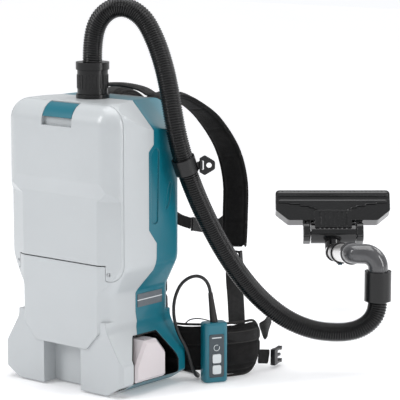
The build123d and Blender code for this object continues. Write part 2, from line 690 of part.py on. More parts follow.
panel = block(-14, 14, face_y - 0.2, face_y + panel_thickness, 10.2, 87.8)
panel = fillet(panel.edges().filter_by(Axis.Y), 5)
for z in button_centres.values():
    panel = panel - block(-button_half - body_gap, button_half + body_gap, face_y - 2, face_y + 5,
                          z - button_half - body_gap, z + button_half + body_gap)
save("remote_panel", remote_place * panel)
for name, z in button_centres.items():
    button = block(-button_half, button_half, face_y - 1.4, button_back_y,
                   z - button_half, z + button_half)
    button = fillet(button.edges().filter_by(Axis.Y), 3)
    save(name, remote_place * button)

relief_low = Vector(176, 128, remote_low + remote_height)
cord_points = [(170, 125.2, 160.4), (167.75, 124.15, 179.9), (152, 109, 194), (133, 90, 181),
               (125, 79, 151), (126, 76, 119), (134, 80, 88), (145, 90, 62), (149, 96, 36),
               (149, 108, 12), (143, 124, 4), (133, 137, 3.2), (117, 147, 3.2), (96, 150, 3.2),
               (76, 143, 5), (gland_x, 131, gland_z), (gland_x, gland_end_y, gland_z)]
relief_axis = Vector(*cord_points[0]) - relief_low
relief = Plane(origin=relief_low, z_dir=relief_axis) * Cone(
    7, 4, relief_axis.length, align=(Align.CENTER, Align.CENTER, Align.MIN))
save("remote_strain_relief", relief - remote_place * block(-30, 30, -30, 30, 90, remote_height))
save("remote_cord", cord("remote_cord", cord_points, remote_cord_radius))

# ---------------------------------------------------------------- wand
save("wand_cuff", tube((wand_x, wand_y, wand_cuff_low), up, 24, 18.5, wand_cuff_high
                       - wand_cuff_low) + tube((wand_x, wand_y, wand_cuff_low), up, 24, hose_bore,
                                               3))
away = Vector(-0.637, 0.77, 0)
across = Vector(0.7707, 0.6372, 0)
pipe_dip, pipe_heading = 10.6, 129.4
pipe_dir = Vector(cos(radians(pipe_heading)) * cos(radians(pipe_dip)),
                  sin(radians(pipe_heading)) * cos(radians(pipe_dip)), -sin(radians(pipe_dip)))
elbow_low = wand_cuff_high - 26
elbow_points = [Vector(wand_x, wand_y, elbow_low), Vector(wand_x, wand_y, 222)]
pipe_start = Vector(wand_x, wand_y, 218) - across * 45 + away * 30
elbow_end = pipe_start + pipe_dir * 26
elbow_points += [pipe_start - pipe_dir * 14, elbow_end]
elbow_path = FilletPolyline(*elbow_points, radius=[24, 14])
elbow_section = Plane(origin=elbow_points[0], z_dir=(0, 0, 1))
elbow = sweep(elbow_section * Circle(18.0), elbow_path)
elbow = elbow + rod(pipe_start, pipe_dir, 20.5, 26)
elbow = elbow - sweep(elbow_section * Circle(14.5), elbow_path)
elbow = elbow - rod(pipe_start + pipe_dir * 2, pipe_dir, outer_pipe_radius, 40)
save("wand_elbow", elbow)

outer_start = pipe_start + pipe_dir * 4
outer_end = outer_start + pipe_dir * outer_pipe_length
inner_start = outer_end - pipe_dir * 200
inner_end = outer_end + pipe_dir * inner_pipe_shown
outer_tube = tube(outer_start, pipe_dir, outer_pipe_radius, outer_pipe_radius - pipe_wall,
                  outer_pipe_length - 24)
sleeve_start = outer_start + pipe_dir * (outer_pipe_length - 40)
lock_sleeve = tube(sleeve_start, pipe_dir, outer_pipe_radius + 3, inner_pipe_radius + body_gap,
                   40) - rod(sleeve_start - pipe_dir, pipe_dir, outer_pipe_radius, 17)
under = across.cross(pipe_dir).normalized()
under = under if under.Z < 0 else under * -1
button_place = Plane(origin=sleeve_start + pipe_dir * 28 + under * outer_pipe_radius,
                     x_dir=pipe_dir, z_dir=under)
lock_sleeve = lock_sleeve - button_place * (Pos(0, 0, 2.85) * Box(13, 9, 8.3))
lock_sleeve = lock_sleeve + button_place * (Pos(0, 0, 1.4) * (Box(18, 14, 4.6)
                                                             - Box(13, 9, 10)))
save("outer_pipe", outer_tube)
save("pipe_sleeve", lock_sleeve)
save("pipe_lock_button", button_place * (Pos(0, 0, 3.65) * Box(12, 8, 5.1)))
save("inner_pipe", tube(inner_start, pipe_dir, inner_pipe_radius,
                        inner_pipe_radius - pipe_wall, (inner_end - inner_start).length))

forward = away * sin(radians(31)) + Vector(0, 0, cos(radians(31)))
neck_end = inner_end + pipe_dir * 12
barrel_middle = neck_end + pipe_dir * 24 + Vector(0, 0, 40)
neck_path = FilletPolyline(inner_end + pipe_dir * 2, neck_end + pipe_dir * 14,
                           barrel_middle, radius=[14])
socket_in = tube(inner_end - pipe_dir * 28, pipe_dir, inner_pipe_radius + 3.4,
                 inner_pipe_radius + 0.2, 28)
neck_outer = sweep(Plane(origin=inner_end + pipe_dir * 2, z_dir=pipe_dir) * Circle(17), neck_path)
neck = socket_in + rod(inner_end, pipe_dir, 18.4, 4) + neck_outer
barrel = rod(barrel_middle - across * (barrel_length / 2), across, barrel_radius, barrel_length)
neck = neck + barrel
neck = neck - rod(inner_end - pipe_dir, pipe_dir, 13, 30)
pin_radius = 4.0
neck = neck - rod(barrel_middle - across * 60, across, pin_radius + shaft_clearance, 120)
save("nozzle_neck", neck)

near = barrel_radius + 1.5
far = near + nozzle_depth
half = nozzle_width / 2
head_normal = across.cross(forward).normalized()


def head(points, radii, low, high):
    """A slab of the nozzle head: outline in (across, forward), between two heights."""
    place = Plane(origin=barrel_middle + head_normal * low, x_dir=across, z_dir=head_normal)
    return extrude(place * outline(points, radii), amount=high - low)


body = head([(-half, near + 22), (-half + 26, near), (half - 26, near), (half, near + 22),
             (half, far), (-half, far)], [6, 10, 10, 6, 8, 8], -12, nozzle_thickness - 12)
hollow = head([(-half + 12, near + 24), (-half + 30, near + 10), (half - 30, near + 10),
               (half - 12, near + 24), (half - 12, far - 12), (-half + 12, far - 12)],
              [4, 4, 4, 4, 4, 4], -20, nozzle_thickness - 18)
body = body - hollow
for side in (1, -1):
    x0, x1 = barrel_length / 2 + 0.8, barrel_length / 2 + 7
    cheek = head([(side * x0, -12), (side * x1, -12), (side * x1, near + 6), (side * x0, near + 6)],
                 [1, 1, 1, 1], -12, 12)
    body = body + cheek
    body = body + rod(barrel_middle + across * (side * (barrel_length / 2 - 12)),
                      across * side, pin_radius, 16)
hub = head([(-38, 4), (38, 4), (38, near + 20), (-38, near + 20)], [4, 4, 4, 4], -11,
           nozzle_thickness - 6)
hub = hub - rod(barrel_middle - across * 48, across, barrel_radius + 0.7, 96)
for i in range(7):
    x = -27 + 9 * i
    hub = hub - head([(x - 1.6, 0), (x + 1.6, 0), (x + 1.6, near + 16), (x - 1.6, near + 16)],
                     [0.4, 0.4, 0.4, 0.4], nozzle_thickness - 8.5, nozzle_thickness)
body = body + (hub - hollow)
save("nozzle_body", body)
plate = head([(-half + 11, near + 23), (-half + 28, near + 5), (half - 28, near + 5),
              (half - 11, near + 23), (half - 5, far - 4), (-half + 5, far - 4)],
             [4, 4, 4, 4, 4, 4], -15, -12)
mouth = head([(-half + 16, near + 26), (-half + 16, far - 22), (half - 16, far - 22),
              (half - 16, near + 26)], [3, 3, 3, 3], -20, 0)
save("nozzle_plate", plate - mouth)
strips = [head([(-half + 14, y), (half - 14, y), (half - 14, y + 3), (-half + 14, y + 3)],
               [0.5, 0.5, 0.5, 0.5], -20, -15) for y in (near + 17, far - 16)]
save("bristle_strips", *strips)
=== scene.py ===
"""Backpack vacuum cleaner: looks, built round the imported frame. Metres, +Z up, front at -Y."""
import json
import math

import bmesh
import bpy
import numpy as np
from mathutils import Matrix, Vector


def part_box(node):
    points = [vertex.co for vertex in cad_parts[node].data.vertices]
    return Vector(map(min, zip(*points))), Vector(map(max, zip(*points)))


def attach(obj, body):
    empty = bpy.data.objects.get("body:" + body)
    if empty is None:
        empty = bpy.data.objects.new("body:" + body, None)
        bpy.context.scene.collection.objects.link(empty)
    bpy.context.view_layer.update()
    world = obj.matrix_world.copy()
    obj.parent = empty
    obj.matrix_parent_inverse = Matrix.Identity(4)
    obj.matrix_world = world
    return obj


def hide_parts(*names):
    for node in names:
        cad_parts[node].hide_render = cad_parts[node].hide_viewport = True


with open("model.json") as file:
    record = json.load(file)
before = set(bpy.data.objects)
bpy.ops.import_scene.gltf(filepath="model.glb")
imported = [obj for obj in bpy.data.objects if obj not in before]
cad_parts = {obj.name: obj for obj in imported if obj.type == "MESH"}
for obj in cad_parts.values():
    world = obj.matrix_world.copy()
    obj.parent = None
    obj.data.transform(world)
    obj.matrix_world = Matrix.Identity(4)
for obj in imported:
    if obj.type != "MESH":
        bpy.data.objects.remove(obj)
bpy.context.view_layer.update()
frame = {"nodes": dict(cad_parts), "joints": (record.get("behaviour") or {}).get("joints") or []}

nodes = frame["nodes"]
MM = 0.001
both_sides = (("right", 1), ("left", -1))


def new_object(name, data):
    """An object in the scene for a mesh, curve, light or camera."""
    obj = bpy.data.objects.new(name, data)
    bpy.context.scene.collection.objects.link(obj)
    return obj


# ---------------------------------------------------------------- camera
camera_place = (2.2961, -2.4757, 0.8743)
camera_heading = (-0.629, 0.761, -0.161)
camera_data = bpy.data.cameras.new("camera")
camera_data.sensor_width = 36.0
camera_data.lens = 174.6
camera = new_object("camera", camera_data)
camera.location = camera_place
camera.rotation_euler = Vector(camera_heading).to_track_quat("-Z", "Y").to_euler()
bpy.context.scene.camera = camera


# ---------------------------------------------------------------- materials
def srgb(r, g, b):
    """An 8-bit display colour as linear RGBA."""
    out = []
    for c in (r, g, b):
        c /= 255.0
        out.append(c / 12.92 if c <= 0.04045 else ((c + 0.055) / 1.055) ** 2.4)
    return (*out, 1.0)


def scaled(colour, factor):
    return (*[min(1.0, c * factor) for c in colour[:3]], 1.0)


class Look:
    """A node material that is built up step by step."""

    def __init__(self, name, colour, roughness, **shader):
        self.mat = bpy.data.materials.new(name)
        self.mat.use_nodes = True
        self.tree = self.mat.node_tree
        self.shader = self.tree.nodes["Principled BSDF"]
        self.shader.inputs["Roughness"].default_value = roughness
        self.shader.inputs["Base Color"].default_value = colour
        self.colour = colour
        self.roughness = roughness
        self.height = None
        for key, value in shader.items():
            self.shader.inputs[key.replace("_", " ")].default_value = value
        self.place = self.node("ShaderNodeTexCoord").outputs["Object"]

    def node(self, kind, inputs=None, **props):
        """A new node; an input is set to a value or linked to another node's socket."""
        made = self.tree.nodes.new(kind)
        for key, value in props.items():
            setattr(made, key, value)
        for key, value in (inputs or {}).items():
            if isinstance(value, bpy.types.NodeSocket):
                self.tree.links.new(value, made.inputs[key])
            else:
                made.inputs[key].default_value = value
        return made

    def link(self, output, name):
        self.tree.links.new(output, self.shader.inputs[name])

    def use_uv(self):
        """Lay the texture along a band instead of in space."""
        self.place = self.node("ShaderNodeUVMap").outputs["UV"]
        return self

    def noise(self, scale, detail=3.0, stretch=None):
        place = self.place
        if stretch:
            place = self.node("ShaderNodeMapping", {"Vector": place, "Scale": stretch}).outputs[0]
        return self.node("ShaderNodeTexNoise",
                         {"Vector": place, "Scale": scale, "Detail": detail}).outputs["Fac"]

    def ramp(self, value, low, high, out_low=0.0, out_high=1.0):
        return self.node("ShaderNodeMapRange", {
            "Value": value, "From Min": low, "From Max": high, "To Min": out_low,
            "To Max": out_high}).outputs["Result"]

    def math(self, operation, a, b=0.0):
        return self.node("ShaderNodeMath", {0: a, 1: b}, operation=operation).outputs[0]

    def tint(self, factor, colour):
        """Mix the colour so far towards another one."""
        mix = self.node("ShaderNodeMix", {"Factor": factor, "A": self.colour, "B": colour},
                        data_type="RGBA")
        self.colour = mix.outputs["Result"]
        return self

    def rough(self, scale, spread):
        """Vary the roughness with a soft noise."""
        value = self.ramp(self.noise(scale), 0.3, 0.7, self.roughness - spread,
                          self.roughness + spread)
        self.link(value, "Roughness")
        return self

    def bump(self, value, distance, strength=1.0):
        inputs = {"Height": value, "Distance": distance, "Strength": strength}
        if self.height is not None:
            inputs["Normal"] = self.height
        self.height = self.node("ShaderNodeBump", inputs).outputs[0]
        return self

    def wear(self, colour, radius, amount):
        """Lighten or darken the edges, broken up by a noise."""
        round_normal = self.node("ShaderNodeBevel", {"Radius": radius}, samples=4).outputs[0]
        flat_normal = self.node("ShaderNodeNewGeometry").outputs["Normal"]
        match = self.node("ShaderNodeVectorMath", {0: round_normal, 1: flat_normal},
                          operation="DOT_PRODUCT").outputs["Value"]
        edge = self.ramp(match, 0.86, 0.995, amount, 0.0)
        patchy = self.ramp(self.noise(160.0), 0.35, 0.65)
        return self.tint(self.math("MULTIPLY", edge, patchy), colour)

    def done(self):
        self.link(self.colour, "Base Color")
        if self.height is not None:
            self.link(self.height, "Normal")
        return self.mat


def moulded(name, colour, roughness, grain=0.00004, worn=0.35, soft=0.0, **shader):
    """Moulded plastic: slow colour drift, fine texture, soft and rubbed edges."""
    look = Look(name, colour, roughness, **shader)
    look.tint(look.ramp(look.noise(7.0), 0.35, 0.7), scaled(colour, 0.95))
    look.tint(look.ramp(look.noise(55.0, 6.0), 0.55, 0.8, 0.0, 0.15), scaled(colour, 1.1))
    if soft:
        look.height = look.node("ShaderNodeBevel", {"Radius": soft}, samples=6).outputs[0]
    look.wear(scaled(colour, 1.5), 0.0007, worn)
    look.rough(38.0, roughness * 0.07)
    return look.bump(look.noise(1400.0, 2.0), grain, 0.5).done()


def fabric(name, colour, light, cell=620.0, depth=0.0005):
    """Padded cover cloth: a knitted cell, a finer yarn and slow fading, with painted shade in the
    hollows at the knit cells' edges.
    """
    look = Look(name, colour, 0.86, Sheen_Weight=0.05, Sheen_Roughness=0.4,
                Specular_IOR_Level=0.3)
    knit = look.node("ShaderNodeTexVoronoi", {"Vector": look.place, "Scale": cell})
    look.tint(look.ramp(look.noise(26.0, 4.0), 0.4, 0.75, 0.0, 0.7), light)
    # painted shade: each knit cell darkens towards its edge, where the bump sinks
    look.tint(look.ramp(knit.outputs["Distance"], 0.15, 0.6, 0.0, 0.75), scaled(colour, 0.45))
    look.rough(90.0, 0.07)
    look.bump(look.ramp(knit.outputs["Distance"], 0.0, 0.7, 1.0, 0.0), depth, 0.8)
    return look.bump(look.noise(2600.0, 2.0), 0.0001, 0.6).done()


def woven(name, colour, light, yarn=1100.0, depth=0.0003):
    """Webbing: yarns across and along the band, in metres of its own length, with a painted highlight on
    the raised yarn crossings.
    """
    look = Look(name, colour, 0.7, Sheen_Weight=0.05, Sheen_Roughness=0.4,
                Specular_IOR_Level=0.35).use_uv()
    warp = look.node("ShaderNodeTexWave", {"Vector": look.place, "Scale": yarn * 0.32},
                     bands_direction="X").outputs["Fac"]
    weft = look.node("ShaderNodeTexWave", {"Vector": look.place, "Scale": yarn * 0.2},
                     bands_direction="DIAGONAL").outputs["Fac"]
    cross = look.math("MULTIPLY", warp, weft)
    # painted highlight: the yarn crossings, where the bump rises, are tinted towards the light colour
    look.tint(look.ramp(cross, 0.1, 0.9, 0.0, 0.85), light)
    look.tint(look.ramp(look.noise(70.0, 4.0), 0.5, 0.8, 0.0, 0.5), scaled(colour, 0.6))
    look.rough(120.0, 0.08)
    return look.bump(cross, depth, 0.9).done()


def brushed(name, colour, roughness, stretch):
    """Drawn aluminium or steel, with fine lines and a few dull marks."""
    look = Look(name, colour, roughness, Metallic=1.0)
    lines = look.noise(900.0, 2.0, stretch)
    look.tint(look.ramp(lines, 0.3, 0.7, 0.0, 0.35), scaled(colour, 0.72))
    look.tint(look.ramp(look.noise(60.0, 5.0), 0.6, 0.8, 0.0, 0.4), scaled(colour, 0.8))
    look.rough(45.0, 0.07)
    return look.bump(lines, 0.00002, 0.5).done()


def smoky():
    """Tinted clear plastic of the wand's elbow."""
    look = Look("smoke_grey", srgb(88, 88, 90), 0.16, Transmission_Weight=0.25, IOR=1.48,
                Coat_Weight=0.5, Coat_Roughness=0.06)
    look.tint(look.ramp(look.noise(30.0, 4.0), 0.4, 0.75, 0.0, 0.5), srgb(58, 58, 60))
    look.wear(srgb(150, 150, 152), 0.0006, 0.4)
    return look.rough(60.0, 0.05).bump(look.noise(900.0, 2.0), 0.00003, 0.5).done()


def hose_skin():
    """Black hose plastic with a little dust in its grooves."""
    look = Look("hose", srgb(7, 7, 8), 0.2, Specular_IOR_Level=0.4)
    look.tint(look.ramp(look.noise(24.0, 4.0), 0.45, 0.75, 0.0, 0.6), srgb(12, 12, 12))
    look.tint(look.ramp(look.noise(700.0, 3.0), 0.62, 0.8, 0.0, 0.12), srgb(40, 38, 36))
    return look.rough(60.0, 0.07).bump(look.noise(1300.0, 2.0), 0.00003, 0.4).done()


def lead_skin():
    """Sheath of the remote control's lead."""
    look = Look("lead", srgb(15, 14, 15), 0.4)
    look.tint(look.ramp(look.noise(60.0, 3.0), 0.45, 0.75, 0.0, 0.6), srgb(30, 28, 28))
    return look.rough(80.0, 0.08).bump(look.noise(1500.0, 2.0), 0.00003, 0.5).done()


def label(line_low, line_high):
    """A grey plate with one pale bar between two heights."""
    look = Look("label", srgb(96, 102, 107), 0.45)
    look.tint(look.ramp(look.noise(300.0, 4.0), 0.45, 0.7, 0.0, 0.4), srgb(80, 86, 91))
    height = look.node("ShaderNodeSeparateXYZ", {0: look.place}).outputs["Z"]
    bar = look.math("MULTIPLY", look.math("GREATER_THAN", height, line_low),
                    look.math("LESS_THAN", height, line_high))
    return look.tint(bar, srgb(214, 216, 218)).rough(90.0, 0.06).done()


white_colour, teal_colour = srgb(186, 190, 192), srgb(0, 102, 119)
black_colour = srgb(13, 13, 14)
shell_white = moulded("shell_white", white_colour, 0.3, worn=0.2, grain=0.00002, soft=0.0022,
                      Coat_Weight=0.25, Coat_Roughness=0.1)
shell_teal = moulded("shell_teal", teal_colour, 0.3, worn=0.2, grain=0.00002, soft=0.0022,
                     Coat_Weight=0.2, Coat_Roughness=0.1)
black_plastic = moulded("black_plastic", black_colour, 0.26, worn=0.8, soft=0.0008,
                        Specular_IOR_Level=0.42)
rubber = moulded("rubber", srgb(16, 16, 17), 0.7, grain=0.00008, worn=0.2)
nozzle_black = moulded("nozzle_black", black_colour, 0.14, worn=0.6, soft=0.0012,
                       Coat_Weight=0.3, Coat_Roughness=0.06)
remote_black = moulded("relief_rubber", srgb(24, 19, 18), 0.5, worn=0.3)
battery_white = moulded("battery_shell", srgb(204, 196, 198), 0.2, soft=0.0015, Coat_Weight=0.5,
                        Coat_Roughness=0.06)
battery_black = moulded("battery_button", srgb(150, 143, 146), 0.35)
button_teal = moulded("button_teal", srgb(4, 78, 92), 0.4)
panel_grey = moulded("panel_grey", srgb(58, 68, 74), 0.38, worn=0.3)
button_white = moulded("button_white", srgb(208, 214, 216), 0.35, soft=0.0006)
filter_white = fabric("filter_media", srgb(216, 214, 204), srgb(232, 230, 222), cell=240.0,
                      depth=0.0008)
bag_paper = fabric("dust_bag", srgb(196, 190, 176), srgb(214, 210, 198), cell=380.0,
                   depth=0.0003)
card = moulded("dust_bag_card", srgb(170, 150, 118), 0.7, grain=0.00006)
board_green = moulded("board", srgb(26, 84, 52), 0.45)
steel = brushed("steel", srgb(176, 178, 180), 0.3, (1.0, 1.0, 9.0))
aluminium = brushed("aluminium", srgb(214, 212, 210), 0.3, (1.0, 1.0, 14.0))
smoke_grey = smoky()
pad_fabric = fabric("padded_fabric", srgb(14, 13, 14), srgb(34, 31, 30))
lining = fabric("lining_fabric", srgb(20, 19, 20), srgb(44, 41, 40), cell=330.0, depth=0.0009)
webbing = woven("webbing", srgb(11, 11, 12), srgb(38, 36, 35))
binding = woven("binding", srgb(24, 22, 22), srgb(66, 60, 56), yarn=1500.0)
thread = woven("thread", srgb(62, 58, 55), srgb(96, 90, 85), yarn=2600.0, depth=0.0001)

hose_black = hose_skin()
lead_black = lead_skin()
label_grey = label(line_low=0.1565, line_high=0.1580)

for material, names in {
        shell_white: ["front_housing", "dust_door"],
        shell_teal: ["rear_case", "door_latch", "remote_case"],
        black_plastic: ["inlet_socket", "hose_cuff", "hose_collar", "battery_bay",
                        "exhaust_grille", "harness_plate", "motor_housing",
                        "impeller", "hose_holder_band", "hose_holder_ring", "wand_cuff",
                        "nozzle_plate", "pipe_sleeve", "cord_gland"],
        nozzle_black: ["nozzle_neck", "nozzle_body"],
        rubber: ["rubber_feet", "door_seal"],
        remote_black: ["remote_strain_relief"],
        battery_white: ["battery_right", "battery_left"],
        battery_black: ["battery_button_right", "battery_button_left"],
        button_teal: ["pipe_lock_button"],
        panel_grey: ["remote_panel"],
        button_white: ["remote_button_power", "remote_button_mode"],
        filter_white: ["hepa_filter", "prefilter"],
        board_green: ["control_board"],
        steel: ["hinge_pins", "case_screws", "motor", "motor_bearings", "motor_shaft",
                "battery_terminals"],
        aluminium: ["outer_pipe", "inner_pipe"],
        smoke_grey: ["wand_elbow"],
        label_grey: ["rating_plate"]}.items():
    for name in names:
        nodes[name].data.materials.clear()
        nodes[name].data.materials.append(material)


# ---------------------------------------------------------------- mesh helpers
def shade_smooth(data):
    data.polygons.foreach_set("use_smooth", [True] * len(data.polygons))


def add_mesh(name, verts, faces, material, uvs=None):
    """A new object from vertices, faces and, for each vertex, its place along a band."""
    data = bpy.data.meshes.new(name)
    data.from_pydata([tuple(v) for v in verts], [], faces)
    if uvs is not None:
        layer = data.uv_layers.new(name="UVMap")
        flat = [c for face in faces for i in face for c in uvs[i]]
        layer.data.foreach_set("uv", flat)
    shade_smooth(data)
    data.materials.append(material)
    data.update()
    return new_object(name, data)


def finish_piece(obj, body, slot_name, *stands_for):
    """Attach a piece to its body and hide the CAD nodes it replaces; slot_name is not used."""
    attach(obj, body)
    if stands_for:
        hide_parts(*stands_for)


def in_metres(points):
    return [tuple(c * MM for c in p) for p in points]


def nurbs(name, points):
    """A curve of one open NURBS spline whose control points are the given ones."""
    data = bpy.data.curves.new(name, "CURVE")
    data.dimensions = "3D"
    spline = data.splines.new("NURBS")
    spline.points.add(len(points) - 1)
    for target, point in zip(spline.points, points):
        target.co = (*point, 1.0)
    spline.order_u = 3
    spline.use_endpoint_u = True
    return new_object(name, data)


def read_line(points, resolution):
    """Points along the NURBS spline of a route, as Blender evaluates it."""
    probe = nurbs("probe", points)
    probe.data.resolution_u = resolution
    bpy.context.view_layer.update()
    data = bpy.data.meshes.new_from_object(probe)
    line = np.array([v.co for v in data.vertices], float)
    bpy.data.objects.remove(probe, do_unlink=True)
    bpy.data.meshes.remove(data)
    return line


def circle_angles(count):
    return np.linspace(0, 2 * math.pi, count, endpoint=False)


def arc_lengths(line):
    steps = np.linalg.norm(np.diff(line, axis=0), axis=1)
    return np.concatenate([[0.0], np.cumsum(steps)])


def tangents(line):
    along = np.gradient(line, axis=0)
    return along / np.linalg.norm(along, axis=1)[:, None]


def transported(line):
    """Two directions across the line at each point, turned as little as possible."""
    along = tangents(line)
    side = np.cross(along[0], (0.0, 0.0, 1.0))
    if np.linalg.norm(side) < 1e-3:
        side = np.cross(along[0], (0.0, 1.0, 0.0))
    sides = []
    for t in along:
        side = side - t * (side @ t)
        side = side / np.linalg.norm(side)
        sides.append(side)
    sides = np.array(sides)
    return sides, np.cross(along, sides)


def circles_across(line, angles, radius):
    """A ring round each point of a line; the radius is one value or one for each vertex."""
    side_one, side_two = transported(line)
    spokes = (np.cos(angles)[None, :, None] * side_one[:, None, :]
              + np.sin(angles)[None, :, None] * side_two[:, None, :])
    return line[:, None, :] + np.broadcast_to(radius, spokes.shape[:2])[..., None] * spokes


def rings_to_mesh(name, rings, material, ring_uv=None, line_uv=None):
    """Skin a row of closed rings, capping both ends."""
    count, around = rings.shape[:2]
    verts = rings.reshape(-1, 3)
    faces = []
    for i in range(count - 1):
        for j in range(around):
            k = (j + 1) % around
            faces.append((i * around + j, i * around + k, (i + 1) * around + k,
                          (i + 1) * around + j))
    faces.append(tuple(range(around - 1, -1, -1)))
    faces.append(tuple((count - 1) * around + j for j in range(around)))
    uvs = None
    if ring_uv is not None:
        uvs = [(ring_uv[j], line_uv[i]) for i in range(count) for j in range(around)]
    return add_mesh(name, verts, faces, material, uvs)


# ---------------------------------------------------------------- cords
hose_route = [(0, 8, 568), (0, 8, 610), (14, 15.5, 650), (45, 33, 668), (78, 51, 650),
              (101, 57, 612), (122, 56, 568), (137.5, 53, 524), (148.5, 51, 478),
              (155.5, 56, 434), (159, 70, 391), (163.5, 90.5, 343), (172, 119.5, 284),
              (186.5, 157, 217), (208, 198.5, 155), (244, 236, 108), (282, 268, 85),
              (316.5, 296, 79), (345.5, 319.5, 82), (365.5, 336, 96), (376.5, 345.5, 118),
              (376.5, 345.5, 138)]
hose_route = in_metres(hose_route)
hose_radius, hose_pitch, hose_groove, hose_sides = 0.0175, 0.0043, 0.0017, 32
groove_sharpness = 1.6
hose_line = read_line(hose_route, 110)
hose_s = arc_lengths(hose_line)
turn = circle_angles(hose_sides)
helix = 2 * math.pi * hose_s[:, None] / hose_pitch + turn[None]
wave = 0.5 - 0.5 * np.cos(helix)
radius = hose_radius - hose_groove * (1.0 - wave) ** groove_sharpness
hose = rings_to_mesh("hose_ribbed", circles_across(hose_line, turn, radius), hose_black)
finish_piece(hose, "pack", "hose", "suction_hose")

lead_route = [(170, 125.2, 160.4), (167.75, 124.15, 179.9), (152, 109, 194), (133, 90, 181),
              (125, 79, 151), (126, 76, 119), (134, 80, 88), (145, 90, 62), (149, 96, 36),
              (149, 108, 12), (143, 124, 4), (133, 137, 3.2), (117, 147, 3.2), (96, 150, 3.2),
              (76, 143, 5), (60, 131, 14), (60, 112, 14)]
lead_route = in_metres(lead_route)
lead_radius = 0.003
lead = nurbs("lead", lead_route)
lead.data.resolution_u = 20
lead.data.bevel_depth = lead_radius
lead.data.bevel_resolution = 5
lead.data.use_fill_caps = True
lead.data.materials.append(lead_black)
finish_piece(lead, "pack", "rubber", "remote_cord")


# ---------------------------------------------------------------- straps and webbing
def catmull(points, per):
    """A smooth line through the points, with per steps in each run."""
    pts = np.array(points, float)
    padded = np.vstack([2 * pts[0] - pts[1], pts, 2 * pts[-1] - pts[-2]])
    out = []
    for i in range(1, len(padded) - 2):
        p0, p1, p2, p3 = padded[i - 1:i + 3]
        for t in np.linspace(0, 1, per, endpoint=False):
            out.append(0.5 * (2 * p1 + (p2 - p0) * t + (2 * p0 - 5 * p1 + 4 * p2 - p3) * t ** 2
                              + (3 * p1 - p0 - 3 * p2 + p3) * t ** 3))
    return np.vstack([out, pts[-1]])


def band_frame(points, sides, per, outward):
    """Centre line, directions across and outward directions of a strap."""
    line = catmull(np.array(points, float) * MM, per)
    along = tangents(line)
    steps = np.linspace(0, len(points) - 1, len(line))
    across = np.array([np.interp(steps, range(len(points)), [s[i] for s in sides])
                       for i in range(3)]).T
    across = across - along * np.sum(across * along, axis=1)[:, None]
    across = across / np.linalg.norm(across, axis=1)[:, None]
    out = np.cross(along, across)
    middle = np.array(outward, float) * MM
    flip = np.sign(np.sum(out * (line - middle), axis=1))
    flip[flip == 0] = 1
    return line, across, out * flip[:, None]


crown_drop = 0.18            # how much thinner a strap is at its edges
seam_depth, seam_half_width = 0.42, 0.0016
rib_half_width = 0.002
end_width, end_thickness = 0.6, 0.12    # what is left of a strap's section at its tips


def band_mesh(name, parts, width, thickness, material, seams=(), ribs=0.0, square=5.0,
              taper=0.008, shift=0.0, around=48, rib_depth=0.0):
    """A strap with a rounded section: seams pull lines in, ribs quilt it across."""
    line, across, out = parts
    s = arc_lengths(line)
    phi = circle_angles(around)
    u = np.sign(np.cos(phi)) * np.abs(np.cos(phi)) ** (2 / square)
    w = np.sign(np.sin(phi)) * np.abs(np.sin(phi)) ** 0.8
    crown = 1.0 - crown_drop * u ** 2
    pull = np.ones(around)
    for seam in seams:
        pull -= seam_depth * np.exp(-((u * width / 2 - seam) / seam_half_width) ** 2)
    from_tip = np.clip(np.minimum(s, s[-1] - s) / taper, 0.0, 1.0)
    close = np.maximum(np.sqrt(1 - (1 - from_tip) ** 2), end_thickness)
    quilt = 1.0
    if ribs:
        from_rib = np.mod(s + ribs / 2, ribs) - ribs / 2
        quilt = 1.0 - rib_depth * np.exp(-(from_rib / rib_half_width) ** 2)
    half_w = (width / 2) * np.maximum(close, end_width)
    half_t = (thickness / 2) * close * quilt
    rings = (line[:, None, :] + (out * shift)[:, None, :]
             + (half_w[:, None] * u[None])[..., None] * across[:, None, :]
             + (half_t[:, None] * (w * crown * pull)[None])[..., None] * out[:, None, :])
    return rings_to_mesh(name, rings, material, u * width / 2 + phi * 1e-6, s)


stitch_pitch, stitch_length, stitch_margin = 0.0042, 0.0027, 0.006
thread_radius, thread_sides = 0.00035, 6


def stitch_row(name, parts, offset, shift):
    """A row of raised thread stitches along a strap."""
    line, across, out = parts
    s = arc_lengths(line)
    verts, faces, uvs = [], [], []
    start = stitch_margin
    while start + stitch_length < s[-1] - stitch_margin:
        first = len(verts)
        for n in range(3):
            here = start + n * stitch_length / 2
            middle, a, o = (np.array([np.interp(here, s, v[:, i]) for i in range(3)])
                            for v in (line, across, out))
            lift, r = (0.9 * thread_radius, thread_radius) if n == 1 else (0.0, 0.75 * thread_radius)
            middle = middle + a * offset + o * (shift + lift)
            for k in range(thread_sides):
                angle = 2 * math.pi * k / thread_sides
                verts.append(middle + a * r * math.cos(angle) * 1.3 + o * r * math.sin(angle))
                uvs.append((k * thread_radius, start + n * stitch_length / 2))
        for n in range(2):
            row, following = first + n * thread_sides, first + (n + 1) * thread_sides
            for k in range(thread_sides):
                m = (k + 1) % thread_sides
                faces.append((row + k, row + m, following + m, following + k))
        last = first + 2 * thread_sides
        faces.append(tuple(first + k for k in range(thread_sides - 1, -1, -1)))
        faces.append(tuple(last + k for k in range(thread_sides)))
        start += stitch_pitch
    return add_mesh(name, verts, faces, thread, uvs)


def on_side(points, flip):
    """The points as they are, or mirrored to the left side where flip is -1."""
    return [(p[0] * flip, *p[1:]) for p in points]


